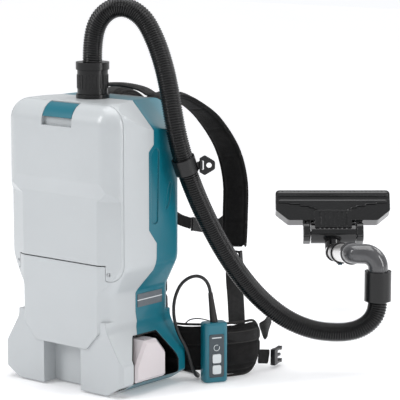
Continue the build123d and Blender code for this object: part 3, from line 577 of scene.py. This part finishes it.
strap_points = [(54, 100, 478), (58, 118, 499), (62, 152, 502), (68, 191, 486), (76, 235, 453),
                (87, 274, 397), (97, 286, 337), (105, 277, 274), (111, 266, 216)]
strap_sides = [(1, 0, 0)] * 4 + [(1, 0.1, 0)] * 5
lower_points = [(115, 259, 182), (124, 249, 163), (146, 227, 132), (170, 200, 103),
                (177, 192, 92)]
lower_sides = [(1, 0.2, 0), (1, 0.3, 0), (0.9, 0.7, 0), (0.7, 0.8, 0), (0.6, 0.8, 0)]
chest_points = [(82, 289, 266), (50, 298, 246), (20, 302, 239)]
handle_points = [(-76, 80, 508.6), (-48, 82, 518), (0, 83, 522), (48, 82, 518),
                 (76, 80, 508.6)]
loop_middle = (75, 190, 330)         # inside the loop that a strap makes
strap_width, strap_thickness = 0.054, 0.012


def make_strap(word, flip):
    """A padded shoulder strap with its webbing, stitches, bound edges and lower webbing."""
    middle = on_side([loop_middle], flip)[0]
    parts = band_frame(on_side(strap_points, flip), on_side(strap_sides, flip), 26, middle)
    strap = band_mesh("shoulder_pad_" + word, parts, strap_width, strap_thickness, pad_fabric,
                      seams=(-0.021, 0.021), ribs=0.062, rib_depth=0.22, square=4.0)
    finish_piece(strap, "pack", "padded_fabric", "shoulder_strap_" + word)
    overlay = band_mesh("strap_webbing_" + word, parts, 0.026, 0.0018, webbing, square=12.0,
                        shift=0.0062, taper=0.003)
    finish_piece(overlay, "pack", "webbing")
    for n, offset in enumerate((-0.0105, 0.0105)):
        row = stitch_row(f"strap_stitch_{word}_{n}", parts, offset, 0.0070)
        finish_piece(row, "pack", "webbing")
    line, across, out = parts
    for n, offset in enumerate((-0.0245, 0.0245)):
        edge = band_mesh(f"strap_binding_{word}_{n}", (line + across * offset, across, out),
                         0.0042, 0.0062, binding, square=2.0, around=12, taper=0.004)
        finish_piece(edge, "pack", "webbing")
    parts = band_frame(on_side(lower_points, flip), on_side(lower_sides, flip), 20, middle)
    lower = band_mesh("lower_webbing_" + word, parts, 0.030, 0.0022, webbing, square=12.0,
                      taper=0.002)
    finish_piece(lower, "pack", "webbing", *(["lower_webbings"] if flip == 1 else []))


def make_chest_webbing(word, flip):
    parts = band_frame(on_side(chest_points, flip), [(0, 0, 1)] * 3, 18, (0, 200, 240))
    chest = band_mesh("chest_webbing_" + word, parts, 0.022, 0.0022, webbing, square=12.0,
                      taper=0.002)
    finish_piece(chest, "pack", "webbing")


def make_handle():
    """The stitched carry handle on top of the case."""
    parts = band_frame(handle_points, [(0, 1, 0)] * 5, 24, (0, 82, 300))
    handle = band_mesh("handle_padded", parts, 0.028, 0.007, webbing, seams=(-0.009, 0.009),
                       square=4.0, taper=0.006)
    finish_piece(handle, "pack", "webbing", "carry_handle")
    for n, offset in enumerate((-0.0088, 0.0088)):
        row = stitch_row(f"handle_stitch_{n}", parts, offset, 0.0030)
        finish_piece(row, "pack", "webbing")


for word, flip in both_sides:
    make_strap(word, flip)
    make_chest_webbing(word, flip)
make_handle()

# loose ends of the belt: the tongue, and the webbing that holds each half of the buckle
for name, points, side, width, stands_for in (
        ("belt_tongue", [(188, 250, 69), (188, 264, 76), (181, 286, 92)], (0, 0.2, 1), 0.036,
         ["waist_webbings"]),
        ("belt_tail_right", [(189, 240, 26), (193, 253, 24), (195, 264, 22)], (0, 0, 1), 0.026, []),
        ("belt_tail_left", [(-188, 245, 48), (-184, 264, 42), (-172, 284, 30)], (0, 0.1, 1), 0.036,
         [])):
    parts = band_frame(points, [side] * 3, 16, (0, 260, 50))
    tail = band_mesh(name, parts, width, 0.0022, webbing, square=12.0, taper=0.002)
    finish_piece(tail, "pack", "webbing", *stands_for)


# ---------------------------------------------------------------- padded pieces
def voxel_remesh(obj, size):
    modifier = obj.modifiers.new("remesh", "REMESH")
    modifier.mode = "VOXEL"
    modifier.voxel_size = size
    bake_modifiers(obj)


def bake_modifiers(obj):
    """Make the evaluated mesh the object's own mesh and drop its modifiers."""
    evaluated = obj.evaluated_get(bpy.context.evaluated_depsgraph_get())
    data = bpy.data.meshes.new_from_object(evaluated)
    old = obj.data
    obj.modifiers.clear()
    obj.data = data
    if old.users == 0:
        bpy.data.meshes.remove(old)


def coordinates(obj):
    out = np.zeros(len(obj.data.vertices) * 3)
    obj.data.vertices.foreach_get("co", out)
    return out.reshape(-1, 3)


def set_coordinates(obj, points):
    obj.data.vertices.foreach_set("co", np.asarray(points, float).ravel())
    obj.data.update()


def normals(obj):
    out = np.zeros(len(obj.data.vertices) * 3)
    obj.data.vertex_normals.foreach_get("vector", out)
    return out.reshape(-1, 3)


cloth_pressure, cloth_frames = 4.0, 20


def inflate(obj, cap):
    """Swell a closed mesh with Blender's cloth, moving no point by more than cap."""
    start = coordinates(obj)
    modifier = obj.modifiers.new("cloth", "CLOTH")
    settings = modifier.settings
    settings.quality = 5
    settings.use_pressure = True
    settings.uniform_pressure_force = cloth_pressure
    settings.effector_weights.gravity = 0.0
    modifier.point_cache.frame_start = 1
    modifier.point_cache.frame_end = cloth_frames
    scene = bpy.context.scene
    for step in range(1, cloth_frames + 1):
        scene.frame_set(step)
    bake_modifiers(obj)
    scene.frame_set(1)
    moved = coordinates(obj) - start
    size = np.linalg.norm(moved, axis=1)
    factor = np.minimum(1.0, cap / np.maximum(size, 1e-9))
    set_coordinates(obj, start + moved * factor[:, None])


def subdivide(obj):
    modifier = obj.modifiers.new("smooth", "SUBSURF")
    modifier.levels = modifier.render_levels = 1
    bake_modifiers(obj)
    shade_smooth(obj.data)


def pull_seams(obj, lines, depth, reach):
    """Sink the surface along sewn lines; each line gives a distance for every point."""
    points = coordinates(obj)
    sink = np.zeros(len(points))
    for distance in lines:
        sink = np.maximum(sink, np.exp(-(distance(points) / reach) ** 2))
    set_coordinates(obj, points - normals(obj) * (sink * depth)[:, None])


def copy_of(node, name, material):
    obj = new_object(name, nodes[node].data.copy())
    obj.data.materials.clear()
    obj.data.materials.append(material)
    return obj


def shrink(obj, amount):
    """Close a CAD copy's open edges and draw its surface in."""
    merge = bmesh.new()
    merge.from_mesh(obj.data)
    bmesh.ops.remove_doubles(merge, verts=merge.verts, dist=1e-5)
    bmesh.ops.recalc_face_normals(merge, faces=merge.faces)
    merge.to_mesh(obj.data)
    merge.free()
    set_coordinates(obj, coordinates(obj) - normals(obj) * amount)


# back pad: ventilated centre channel, cross seams and an edge seam
pad = copy_of("back_pad", "back_cushion", lining)
shrink(pad, 0.0016)
voxel_remesh(pad, 0.005)
inflate(pad, 0.005)
subdivide(pad)
pad_low, pad_high = (np.array(c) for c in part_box("back_pad"))
face_y = (pad_low[1] + pad_high[1]) / 2


def on_outer(distance):
    """A seam that only shows on the face towards the wearer."""
    return lambda p: np.where(p[:, 1] > face_y, distance(p), 1.0)


pull_seams(pad, [on_outer(lambda p, z=z: p[:, 2] - z)
                 for z in np.arange(pad_low[2] + 0.055, pad_high[2] - 0.03, 0.062)]
           + [on_outer(lambda p, x=x: p[:, 0] - x) for x in (-0.062, 0.062)], 0.0034, 0.0035)
pull_seams(pad, [on_outer(lambda p: p[:, 0])], 0.0055, 0.013)
points = coordinates(pad)
points[:, 1] = np.maximum(points[:, 1], pad_low[1])
set_coordinates(pad, points)
finish_piece(pad, "pack", "padded_fabric", "back_pad")

# waist wings: upright padded bands with sewn channels and a rounded end
wing_plan = [(99, 106), (125, 116), (155, 140), (178, 172), (190, 206), (188, 238)]
wing_low, wing_high, wing_half = 0.0012, 0.0988, 0.0058
route_low, route_end = 0.0105, 0.082     # room for the lead that runs under the wing
corner_low, corner_high = 0.046, 0.030   # rounding of the wing's free end
wing_tip = 0.0015
wing_edge_soft = 0.007
wing_rows = 22
piping_radius = 0.0022


def wing_outline(here, length):
    """Lower and upper edge of the wing at a distance along it."""
    left = length - here
    low = wing_low if here > route_end else route_low
    high = wing_high
    if left < corner_low:
        low += corner_low - math.sqrt(max(0.0, corner_low ** 2 - (corner_low - left) ** 2))
    if left < corner_high:
        high -= corner_high - math.sqrt(max(0.0, corner_high ** 2 - (corner_high - left) ** 2))
    return low, high


def wing_bounds(here, s):
    """The outline, held a little before the tip so that the tip isn't a point."""
    return wing_outline(min(here, s[-1] - wing_tip), s[-1])


def wing_piping(name, line, s):
    """Binding round the wing's free edge, read from its outline."""
    trim = []
    for here in np.linspace(0.09, s[-1] - 0.0012, 30):
        trim.append((here, wing_outline(here, s[-1])[0] + 0.0012))
    for here in np.linspace(s[-1] - 0.0012, 0.004, 40):
        trim.append((here, wing_outline(here, s[-1])[1] - 0.0004))
    trim = np.array([(np.interp(here, s, line[:, 0]), np.interp(here, s, line[:, 1]), z)
                     for here, z in trim])
    angles = circle_angles(10)
    rings = circles_across(trim, angles, piping_radius)
    rings[..., 2] = np.maximum(rings[..., 2], 0.0003)
    edge = rings_to_mesh(name, rings, binding, angles * piping_radius, arc_lengths(trim))
    finish_piece(edge, "pack", "webbing")


def make_wing(name, flip, stands_for):
    """A padded belt wing: a rounded band on edge, swollen, with sewn channels."""
    line = catmull([(x * flip * MM, y * MM, 0.0) for x, y in wing_plan], 10)
    line = np.vstack([line, 2 * line[-1] - line[-2]])
    out = np.cross(tangents(line), (0.0, 0.0, 1.0)) * flip
    s = arc_lengths(line)
    rings = []
    for point, side, here in zip(line, out, s):
        low, high = wing_bounds(here, s)
        heights = np.linspace(low, high, wing_rows)
        edge = np.minimum(heights - low, high - heights)
        edge = np.minimum(edge, s[-1] - here + 0.001)
        half = wing_half * np.sqrt(np.clip(edge / wing_edge_soft, 0.06, 1.0))
        outer_side = [(*(point + side * h)[:2], z) for h, z in zip(half, heights)]
        inner_side = [(*(point - side * h)[:2], z) for h, z in zip(half[::-1], heights[::-1])]
        rings.append(outer_side + inner_side)
    wing = rings_to_mesh(name, np.array(rings), pad_fabric)
    shrink(wing, 0.0002)
    voxel_remesh(wing, 0.0045)
    inflate(wing, 0.003)
    subdivide(wing)

    def edge_distance(p):
        """Distance from the seam that follows the wing's edge."""
        index = np.argmin(((p[:, None, :2] - line[None, :, :2]) ** 2).sum(axis=2), axis=1)
        bounds = np.array([wing_bounds(h, s) for h in s[index]])
        return np.minimum(np.minimum(p[:, 2] - bounds[:, 0], bounds[:, 1] - p[:, 2]),
                          s[-1] - s[index]) - 0.009

    pull_seams(wing, [lambda p: p[:, 2] - 0.021, lambda p: p[:, 2] - 0.060, edge_distance],
               0.0028, 0.0026)
    points = coordinates(wing)
    points[:, 2] = np.maximum(points[:, 2], 0.0004)
    set_coordinates(wing, points)
    finish_piece(wing, "pack", "padded_fabric", stands_for)
    wing_piping(name + "_piping", line, s)


make_wing("belt_wing_right", 1, "waist_wing_right")
make_wing("belt_wing_left", -1, "waist_wing_left")

# dust bag: a soft paper bag that fills its chamber, under a card collar
collar_low_z = 0.4633
bag = copy_of("dust_bag", "dust_bag_soft", bag_paper)
collar = copy_of("dust_bag", "dust_bag_collar", card)
for obj, keeps_collar in ((bag, False), (collar, True)):
    split = bmesh.new()
    split.from_mesh(obj.data)
    bmesh.ops.delete(split, geom=[v for v in split.verts
                                  if (v.co.z > collar_low_z) != keeps_collar], context="VERTS")
    split.to_mesh(obj.data)
    split.free()
shrink(bag, 0.002)
voxel_remesh(bag, 0.006)
inflate(bag, 0.006)
subdivide(bag)
pull_seams(bag, [lambda p: p[:, 0] - 0.052, lambda p: p[:, 0] + 0.052], 0.004, 0.006)
finish_piece(bag, "pack", "dust_bag", "dust_bag")
finish_piece(collar, "pack", "dust_bag")


# ---------------------------------------------------------------- buckles and fittings
def fused(name, place, boxes, material, voxel=0.0007, soften=2):
    """Bars joined into one soft-edged moulding; boxes are (x0, x1, y0, y1, z0, z1) in mm."""
    build = bmesh.new()
    for x0, x1, y0, y1, z0, z1 in boxes:
        size = Matrix.Diagonal((x1 - x0, y1 - y0, z1 - z0, 1.0))
        centre = Matrix.Translation(((x0 + x1) / 2, (y0 + y1) / 2, (z0 + z1) / 2))
        bmesh.ops.create_cube(build, size=1.0, matrix=centre @ size)
    bmesh.ops.scale(build, vec=(MM, MM, MM), verts=build.verts)
    build.transform(place)
    data = bpy.data.meshes.new(name)
    build.to_mesh(data)
    build.free()
    data.materials.append(material)
    obj = new_object(name, data)
    voxel_remesh(obj, voxel)
    smooth = obj.modifiers.new("soften", "SMOOTH")
    smooth.factor, smooth.iterations = 0.5, soften
    bake_modifiers(obj)
    shade_smooth(obj.data)
    return obj


def at(x, y, z, turn_z=0.0, turn_x=0.0):
    """A place in millimetres with a turn in degrees."""
    return (Matrix.Translation((x * MM, y * MM, z * MM))
            @ Matrix.Rotation(math.radians(turn_z), 4, "Z")
            @ Matrix.Rotation(math.radians(turn_x), 4, "X"))


ladder = [(-19, -14.5, -4, 4, -12, 12), (14.5, 19, -4, 4, -12, 12), (-19, 19, -4, 0, 8.5, 12),
          (-19, 19, -2, 3, -2.2, 2.2), (-19, 19, -1, 4.5, -12, -8.5),
          (-16, 16, 2, 5.5, -12, -9.5)]
for word, flip in both_sides:
    lock = fused("ladder_lock_" + word, at(113 * flip, 262, 199, turn_x=6), ladder,
                 black_plastic)
    finish_piece(lock, "pack", "black_plastic", *(["strap_adjusters"] if flip == 1 else []))

clip = [(-19, -15.5, -4.5, 4.5, -13, 13), (15.5, 19, -4.5, 4.5, -13, 13),
        (-13, 13, -4.6, 4.6, -12.5, 12.5), (-19, 19, -3.4, 3.4, -11, -8),
        (-19, 19, -3.4, 3.4, 8, 11), (-15, -11, -3.6, 3.6, -9, 9), (11, 15, -3.6, 3.6, -9, 9)]
chest_clip = fused("chest_clip", at(0, 302, 239), clip, black_plastic)
finish_piece(chest_clip, "pack", "black_plastic", "chest_strap")

prong = [(-18, -4, -4.4, 4.4, -14.8, 14.8), (-6, 17.5, -3.6, 3.6, -14.6, -9.6),
         (-6, 17.5, -3.6, 3.6, 9.6, 14.6), (-6, 14, -2.2, 2.2, -2.6, 2.6),
         (11, 17.5, -3.8, 3.8, -14.9, -8.4), (11, 17.5, -3.8, 3.8, 8.4, 14.9)]
belt_prong = fused("belt_prong", at(198, 283, 21, turn_z=104), prong, black_plastic)
finish_piece(belt_prong, "pack", "black_plastic", "waist_buckle")
socket = [(-20, -17, -5.8, 5.8, -17, 17), (-20, 20, -5.8, -4.2, -17, 17),
          (-20, 20, 4.2, 5.8, -17, 17), (12, 20, -5.8, 5.8, -17, 17),
          (-20, 14, -5.8, 5.8, -17, -14.6), (-20, 14, -5.8, 5.8, 14.6, 17)]
belt_socket = fused("belt_socket", at(-160, 300, 22, turn_z=-50), socket, black_plastic)
finish_piece(belt_socket, "pack", "black_plastic")


# ---------------------------------------------------------------- sewn-on and moulded details
belt_middle = (70, 210, 74)
belt_webbing_z, belt_webbing_out = 73, 7.4
belt_webbing_plan = [(122, 115, 0.4, -0.92), (155, 140, 0.71, -0.7), (178, 172, 0.85, -0.5),
                     (190, 206, 1.0, -0.15), (188.6, 232, 1.0, 0.04)]
belt_loop_points = [(120, 114, 98), (127, 119, 106), (139, 127, 109), (152, 138, 106),
                    (163, 151, 99)]
for word, flip in both_sides:
    overlay = on_side([(x + belt_webbing_out * dx, y + belt_webbing_out * dy, belt_webbing_z)
                       for x, y, dx, dy in belt_webbing_plan], flip)
    parts = band_frame(overlay, [(0, 0, 1)] * 5, 18, on_side([belt_middle], flip)[0])
    strip = band_mesh("belt_webbing_" + word, parts, 0.024, 0.0020, webbing, square=12.0,
                      taper=0.002)
    finish_piece(strip, "pack", "webbing")
    for n, offset in enumerate((-0.0098, 0.0098)):
        row = stitch_row(f"belt_stitch_{word}_{n}", parts, offset, 0.0011)
        finish_piece(row, "pack", "webbing")
    parts = band_frame(on_side(belt_loop_points, flip), [(0.7, -0.7, 0)] * 5, 14,
                       on_side([(150, 130, 60)], flip)[0])
    tape = band_mesh("belt_loop_" + word, parts, 0.005, 0.0016, webbing, square=8.0, around=20,
                     taper=0.001)
    finish_piece(tape, "pack", "webbing")

# remote control: a plain bar and an open ring above its buttons
remote_place = at(176, 128, 0.4, turn_z=60)
panel_y = -14.0
bar = fused("remote_bar", remote_place, [(-9, 9, panel_y - 0.5, panel_y + 0.6, 80.5, 82.6)],
            button_white, voxel=0.0004, soften=1)
finish_piece(bar, "pack", "button_white")
ring_radius, ring_z, ring_wire = 5.2, 63.5, 0.00055
ring_line = np.array([
    remote_place @ (Vector((ring_radius * math.cos(a), panel_y - 0.3,
                            ring_z + ring_radius * math.sin(a))) * MM)
    for a in np.linspace(0.35 * math.pi, 2.15 * math.pi, 40)])
mark = rings_to_mesh("remote_mark", circles_across(ring_line, circle_angles(8), ring_wire),
                     button_white)
finish_piece(mark, "pack", "button_white")

# nozzle: a rounded rail along the back edge and a fairing that runs into the hub
head_pivot = next(j for j in frame["joints"] if j["name"] == "head_pivot")
across = Vector(head_pivot["axis"])
away = Vector((0.0, 0.0, 1.0)).cross(across)
head_tilt = math.radians(31)
forward = away * math.sin(head_tilt) + Vector((0.0, 0.0, math.cos(head_tilt)))
head_normal = across.cross(forward).normalized()
head_turn = Matrix((across, forward, head_normal)).transposed().to_4x4()
head_place = Matrix.Translation(head_pivot["pos_m"]) @ head_turn
head_top = 18.0
low, high = head_top - 1.5, head_top + 4.2
rail = fused("nozzle_rail", head_place,
             [(-114, 114, 74, 86, low, head_top + 2.6), (-114, 114, 77, 83, head_top + 1, head_top + 4)],
             nozzle_black, voxel=0.0011, soften=6)
finish_piece(rail, "head", "black_plastic")
fairing_steps = [(27, 6, 34), (28, 30, 42), (31, 38, 49), (38, 44, 55), (50, 49, 59),
                 (68, 53, 62), (90, 57, 65), (112, 60, 67), (26, 38, 66)]
fairing = fused("nozzle_fairing", head_place,
                [(-half, half, near, far, low, high) for half, near, far in fairing_steps],
                nozzle_black, voxel=0.0012, soften=14)
finish_piece(fairing, "head", "black_plastic")
cap_rounds = [(20, 11), (17.6, 15), (15, 17.6), (11, 20)]
for word, x0, x1 in (("left", -62, -47.5), ("right", 47.5, 62)):
    cap = fused("nozzle_cap_" + word, head_place,
                [(x0, x1, -wide, wide, -tall, tall) for wide, tall in cap_rounds],
                nozzle_black, voxel=0.0012, soften=10)
    finish_piece(cap, "head", "black_plastic")

# ---------------------------------------------------------------- floor, world and lights
floor_half, floor_z = 9.0, -0.0003
near_glow, far_glow = 0.16, 0.55         # the floor glows faintly, more so far from the set
glow_start, glow_full = 1.2, 4.5
world_light, world_seen = 0.5, 1.0       # what the world lights with, and how bright it looks
floor_look = Look("floor", srgb(246, 246, 247), 0.7, Emission_Strength=near_glow,
                  Emission_Color=(1.0, 1.0, 1.0, 1.0))
floor_look.tint(floor_look.ramp(floor_look.noise(2.0), 0.3, 0.7), srgb(243, 243, 245))
from_set = floor_look.node("ShaderNodeVectorMath", {0: floor_look.place},
                           operation="LENGTH").outputs["Value"]
floor_look.link(floor_look.ramp(from_set, glow_start, glow_full, near_glow, far_glow),
                "Emission Strength")
floor_corners = [(x * floor_half, y * floor_half, floor_z)
                 for x, y in ((-1, -1), (1, -1), (1, 1), (-1, 1))]
floor = add_mesh("floor", floor_corners, [(0, 1, 2, 3)], floor_look.done())

world = bpy.data.worlds.new("studio")
world.use_nodes = True
tree = world.node_tree
background = tree.nodes["Background"]
background.inputs["Color"].default_value = (0.97, 0.98, 1.0, 1.0)
seen = tree.nodes.new("ShaderNodeLightPath").outputs["Is Camera Ray"]
strength = tree.nodes.new("ShaderNodeMapRange")
strength.inputs["To Min"].default_value = world_light
strength.inputs["To Max"].default_value = world_seen
tree.links.new(seen, strength.inputs["Value"])
tree.links.new(strength.outputs["Result"], background.inputs["Strength"])
bpy.context.scene.world = world
bpy.context.scene.view_settings.view_transform = "Standard"


def area_light(name, place, target, size, power):
    data = bpy.data.lights.new(name, "AREA")
    data.shape = "RECTANGLE"
    data.size, data.size_y = size
    data.energy = power
    obj = new_object(name, data)
    obj.location = place
    obj.rotation_euler = (Vector(target) - Vector(place)).to_track_quat("-Z", "Y").to_euler()


centre = (0.08, 0.12, 0.3)
area_light("key", (-1.2, -2.2, 1.9), centre, (0.9, 1.4), 32)
area_light("side", (2.3, 0.5, 1.0), centre, (0.5, 1.6), 16)
area_light("rim", (0.9, 2.0, 1.8), centre, (1.4, 0.8), 14)
area_light("top", (0.0, 0.2, 2.6), centre, (2.2, 2.2), 44)
